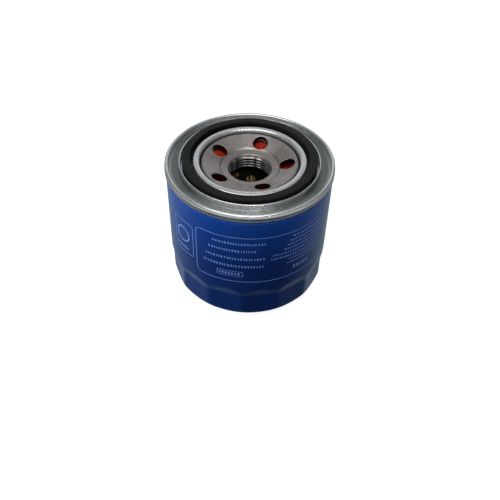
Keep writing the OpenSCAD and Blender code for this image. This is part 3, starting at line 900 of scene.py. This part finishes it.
def build_media():
    """One closed zigzag of paper with rounded folds, a little uneven from pleat to pleat"""
    rng = random.Random(12)
    inner, outer = PLEAT_R + PAPER_T / 2, reach("pleated_media") - PAPER_T / 2
    step, fold_half = 360 / PLEATS, 0.32
    tip, valley = math.degrees(fold_half / outer), math.degrees(fold_half / inner)
    corners = []
    for i in range(PLEATS):
        wander = rng.uniform(-0.12, 0.12) * (i != 0)
        tip_r = outer - rng.uniform(0, 0.25)
        corners += [polar(tip_r, i * step - tip + wander), polar(tip_r, i * step + tip + wander),
                    polar(inner, (i + 0.5) * step - valley), polar(inner, (i + 0.5) * step + valley)]
    path = fillet(corners, 0.3, steps=3)
    sides = [offset(path, s * PAPER_T / 2, closed=True) for s in (1, -1)]
    bm = bmesh.new()
    bottom, top = low("pleated_media"), high("pleated_media")
    columns = [[vertex(bm, *sides[s][k], z) for s, z in ((0, bottom), (1, bottom), (1, top), (0, top))]
               for k in range(len(path))]
    for a, b in zip(columns, columns[1:] + columns[:1]):
        bridge(bm, a, b)
    piece(to_mesh("paper_pleats", bm), PAPER, ["pleated_media"], sharp=50)


def build_clip():
    lowest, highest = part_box("media_seam_clip")
    x0, x1 = lowest.x / MM, highest.x / MM
    t = 0.4
    half, back = highest.y / MM - t / 2, x1 - t / 2
    path = fillet([(x0, half), (back, half), (back, -half), (x0, -half)], 0.35, False)
    bm = prism(sheet(path, t), lowest.z / MM, highest.z / MM, lambda x, y, s: (x, y, s))
    piece(to_mesh("seam_clip", bm), TINPLATE, ["media_seam_clip"])


def build_tube():
    """The tube, cut by rows of round holes that climb around it"""
    bottom, top = low("center_tube"), high("center_tube")
    wall = fillet([(TUBE_R - TUBE_T, bottom), (TUBE_R, bottom), (TUBE_R, top), (TUBE_R - TUBE_T, top)],
                  0.1, steps=2)
    obj = to_mesh("perforated_tube", lathe(wall, 176))
    hole_r, columns, rise, first_angle = 2.4, 11, 4.2, 87
    pitch, margin = columns * rise / 4, hole_r + 1
    first = top + CAP_T - 8.2
    cutter = bmesh.new()
    for column in range(columns):
        for row in range(-7, 2):
            z = first + column * rise + row * pitch
            if not bottom + margin < z < top - margin:
                continue
            turn = math.radians(first_angle + column * 360 / columns)
            start = len(cutter.verts)
            lathe([(0, -2), (hole_r, -2), (hole_r, 2), (0, 2)], 28, bm=cutter)
            cutter.verts.ensure_lookup_table()
            place = (Matrix.Rotation(turn, 4, "Z") @ Matrix.Translation((TUBE_R * MM, 0, z * MM))
                     @ Matrix.Rotation(math.pi / 2, 4, "Y"))
            bmesh.ops.transform(cutter, matrix=place, verts=cutter.verts[start:])
    cut(obj, to_mesh("perforations", cutter))
    piece(obj, TUBE_STEEL, ["center_tube"])


# --- the bypass valve ------------------------------------------------------------------------

def build_bypass_seat():
    bottom, outer, seat_z = low("bypass_housing"), reach("bypass_housing"), high("bypass_housing")
    roll, t, port = 0.35, 0.5, 5.75
    flange = bottom + t / 2
    path = ([(port, bottom + t * EDGE_OUT)]
            + arc(port + roll, seat_z - t / 2 - roll, roll, 180, 0, 12)
            + arc(port + 3 * roll, flange + roll, roll, 180, 270, 6)
            + [(outer - t * EDGE_OUT, flange)])
    piece(to_mesh("bypass_seat", lathe(sheet(path, t), 128)), TINPLATE, ["bypass_housing"])


def build_bypass_facing():
    bottom, top, inner = low("bypass_seal"), high("bypass_seal"), 4.5
    ring = [(inner, bottom), (DISC_R, bottom), (DISC_R, top), (inner, top)]
    piece(to_mesh("bypass_facing", lathe(fillet(ring, 0.15), 128)), FACING, ["bypass_seal"],
          body=VALVE_BODY)


def build_bypass_plate():
    t = 0.5
    mid = low("bypass_disc") + t / 2
    path = fillet([(0, mid + 1.5), (2, mid + 1.5), (3, mid + 0.7), (3.3, mid),
                   (DISC_R - t * EDGE_OUT, mid)], 0.5, False)
    piece(to_mesh("bypass_plate", lathe(domed(path, t), 128)), TINPLATE, ["bypass_disc"],
          body=VALVE_BODY)


def build_bypass_coil():
    """A spring whose first and last turns lie flat, between the disc and the cage"""
    bottom, top, wire, turns, coil_r = low("bypass_spring"), high("bypass_spring"), 0.8, 5, 4.4
    start, end, dead = bottom + wire / 2, top - wire / 2, 0.8 / turns
    closing, steps, points = wire * 1.02, 220, []
    for i in range(steps + 1):
        share = i / steps
        rise = min(max((share - dead) / (1 - 2 * dead), 0), 1)
        ends = (min(share, dead) + max(share - 1 + dead, 0)) / dead
        z = start + (end - start - 2 * closing) * rise + closing * ends
        points.append((*polar(coil_r, 360 * turns * share), z))
    spring = piece(to_mesh("bypass_coil", tube(points, wire / 2 * 0.98)), SPRING_STEEL,
                   ["bypass_spring"], body=None)
    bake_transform(spring)


def build_bypass_guide():
    """The cage that holds the spring, with four windows"""
    t, bottom, ceiling = 0.45, low("bypass_cage"), high("bypass_cage")
    foot_r, wall_r, neck_r = reach("bypass_housing"), 9.8, 2.3
    neck_end = high("bypass_disc") + 2.6
    path = fillet([(foot_r - t * EDGE_OUT, bottom + t / 2), (wall_r, bottom + t / 2),
                   (wall_r, ceiling - t / 2), (neck_r, ceiling - t / 2),
                   (neck_r, neck_end + t * EDGE_OUT)], [0, 0.35, 0.7, 0.35, 0], False, 6)
    obj = to_mesh("bypass_guide", lathe(sheet(path, t), 128))
    sill, head, half = bottom + t + 0.8, ceiling - t - 1.2, 4.5
    window = fillet([(-half, sill), (half, sill), (half, head), (-half, head)], 1.0)
    cutter = bmesh.new()
    for i in range(4):
        turn = math.radians(45 + 90 * i)
        prism(window, 8, 12, lambda x, y, s, a=turn: (
            s * math.cos(a) - x * math.sin(a), s * math.sin(a) + x * math.cos(a), y), cutter)
    cut(obj, to_mesh("windows", cutter))
    piece(obj, TINPLATE, ["bypass_cage"])


def build_support_spring():
    """A ring with four leaves that reach down and out to the can's base"""
    t, top = 0.8, high("support_spring")
    inner, outer, leaf_half = 13, 17.5, 5
    mid, foot_mid = top - t / 2, low("support_spring") + t / 2
    leaf = fillet([(15.5, mid), (17.2, mid), (19.5, mid - 1.2), (25, foot_mid + 1), (27, foot_mid),
                   (28.5, foot_mid + 0.6)], [0, 1.5, 2, 3, 2, 0], False, 6)
    ring = [(inner, top - t), (outer, top - t), (outer, top), (inner, top)]
    obj = to_mesh("support_leaves", lathe(ring, 96))
    for i in range(4):
        turn = math.radians(90 * i)
        strip = prism(sheet(leaf, t), -leaf_half, leaf_half, lambda x, z, s, a=turn: (
            x * math.cos(a) - s * math.sin(a), x * math.sin(a) + s * math.cos(a), z))
        cut(obj, to_mesh("leaf", strip), "UNION")
    piece(obj, SPRING_STEEL, ["support_spring"])


def paint_cad_node(node, material):
    """Puts a material in every slot of a CAD node that is shown as it is"""
    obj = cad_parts[node]
    for index in range(len(obj.data.materials)):
        obj.material_slots[index].link = "OBJECT"
        obj.material_slots[index].material = material


build_can()
build_print()
build_lid()
build_gasket()
build_plate()
build_drainback_sleeve()
build_drainback_membrane()
build_upper_cap()
build_lower_cap()
build_potting()
build_media()
build_clip()
build_tube()
build_bypass_seat()
build_bypass_facing()
build_bypass_plate()
build_bypass_coil()
build_bypass_guide()
build_support_spring()
paint_cad_node("seam_compound", COMPOUND)
paint_cad_node("lid_welds", WELD)


# --- studio ----------------------------------------------------------------------------------

def build_floor():
    """A pale floor that the metal does not reflect"""
    mesh = bpy.data.meshes.new("floor")
    bm = bmesh.new()
    bmesh.ops.create_grid(bm, x_segments=1, y_segments=1, size=3.0)
    bm.to_mesh(mesh)
    bm.free()
    obj = bpy.data.objects.new("floor", mesh)
    bpy.context.scene.collection.objects.link(obj)
    obj.location.z = cad_bounds[0][2] - 0.1 * MM
    s = Shade("pale_floor", Emission_Color=(1, 1, 1, 1), Emission_Strength=0.9)
    s.colour(s.mix(s.span(s.noise(4, 2), 0.3, 0.7), (0.30, 0.30, 0.30), (0.32, 0.32, 0.32)))
    s.roughness(0.9)
    obj.data.materials.append(s.material)
    obj.visible_diffuse = False
    obj.visible_glossy = False


def add_light(kind, name, energy, location, target, glossy=True, **settings):
    data = bpy.data.lights.new(name, kind)
    data.energy = energy
    for key, value in settings.items():
        setattr(data, key, value)
    obj = bpy.data.objects.new(name, data)
    obj.location = location
    obj.rotation_euler = (Vector(target) - Vector(location)).to_track_quat("-Z", "Y").to_euler()
    obj.visible_glossy = glossy
    bpy.context.scene.collection.objects.link(obj)


def build_lights():
    """A soft light from above, a fill from the left, and two narrow beams down into the hub"""
    add_light("AREA", "key", 3.6, (-0.10, -0.20, 0.92), (0, 0, 0.06), size=0.80)
    add_light("AREA", "left_fill", 6.0, (-0.75, -0.10, 0.30), (0, 0, 0.04), glossy=False, size=0.45)
    for name, energy, cone, glossy in (("hub_light", 5.5, 2.6, True), ("paper_light", 9.0, 3.2, False)):
        add_light("SPOT", name, energy, (0.06, -0.223, 0.40), (0, 0.002, 0.052), glossy=glossy,
                  spot_size=math.radians(cone), spot_blend=0.4, shadow_soft_size=0.03)


def build_camera():
    """The photograph's camera: from 0.3 m away, looking 45 degrees down at the near side"""
    data = bpy.data.cameras.new("camera")
    data.sensor_width = 36
    data.lens = 45.8
    data.clip_start = 0.01
    obj = bpy.data.objects.new("camera", data)
    bpy.context.scene.collection.objects.link(obj)
    pitch, yaw, roll = (math.radians(a) for a in (44.94, 0.28, 1.58))
    back, above_flange = 0.2404, 0.1829
    ahead = Vector((math.sin(yaw), math.cos(yaw), 0))
    forward = ahead * math.cos(pitch) - Vector((0, 0, math.sin(pitch)))
    side = Vector((math.cos(yaw), -math.sin(yaw), 0))
    up = side.cross(forward)
    right = math.cos(roll) * side + math.sin(roll) * up
    top = -math.sin(roll) * side + math.cos(roll) * up
    matrix = Matrix((right, top, -forward)).transposed().to_4x4()
    matrix.translation = Vector((0, -back, FLANGE * MM + above_flange))
    obj.matrix_world = matrix
    bpy.context.scene.camera = obj


# How bright the surroundings are: straight down, low down, and above the horizon
UNDER, UNDER_RIM = 0.045, 0.004
SKY_FRONT_LOW, SKY_BACK_LOW = 0.80, 0.32
SKY_FRONT, SKY_BACK, SKY_TOP, SKY_SIDE = 0.36, 0.86, 0.34, 0.22


def build_world():
    """White to the camera; to everything else, soft bands of grey by the ray's direction"""
    world = bpy.data.worlds.new("studio")
    bpy.context.scene.world = world
    world.use_nodes = True
    tree = world.node_tree

    def node(kind, **settings):
        made = tree.nodes.new(kind)
        for key, value in settings.items():
            setattr(made, key, value)
        return made

    def span(value, inputs, outputs):
        made = node("ShaderNodeMapRange", interpolation_type="SMOOTHSTEP")
        tree.links.new(value, made.inputs[0])
        for socket, number in zip(list(made.inputs)[1:5], (*inputs, *outputs)):
            if isinstance(number, bpy.types.NodeSocket):
                tree.links.new(number, socket)
            else:
                socket.default_value = number
        return made.outputs[0]

    direction = node("ShaderNodeSeparateXYZ")
    tree.links.new(node("ShaderNodeTexCoord").outputs["Generated"], direction.inputs[0])
    up, back = direction.outputs["Z"], direction.outputs["Y"]
    sideways = node("ShaderNodeMath", operation="ABSOLUTE")
    tree.links.new(direction.outputs["X"], sideways.inputs[0])
    under = span(up, (-0.98, -0.86), (UNDER, UNDER_RIM))
    front_low = span(up, (-0.70, -0.28), (under, SKY_FRONT_LOW))
    below = span(back, (-0.5, 0.7), (front_low, SKY_BACK_LOW))
    band = span(up, (0.555, 0.61), (SKY_BACK, SKY_TOP))
    middle = span(back, (-0.3, 0.72), (SKY_FRONT, band))
    above = span(sideways.outputs[0], (0.25, 0.70), (middle, SKY_SIDE))
    strength = span(up, (-0.15, 0.15), (below, above))
    sky, backdrop = tree.nodes["Background"], node("ShaderNodeBackground")
    sky.inputs["Color"].default_value = (0.92, 0.96, 1, 1)
    tree.links.new(strength, sky.inputs["Strength"])
    choice = node("ShaderNodeMixShader")
    tree.links.new(node("ShaderNodeLightPath").outputs["Is Camera Ray"], choice.inputs[0])
    tree.links.new(sky.outputs[0], choice.inputs[1])
    tree.links.new(backdrop.outputs[0], choice.inputs[2])
    backdrop.inputs["Color"].default_value = (1, 1, 1, 1)
    tree.links.new(choice.outputs[0], tree.nodes["World Output"].inputs[0])


build_floor()
build_camera()
build_world()
build_lights()
bpy.context.scene.view_settings.view_transform = "Standard"
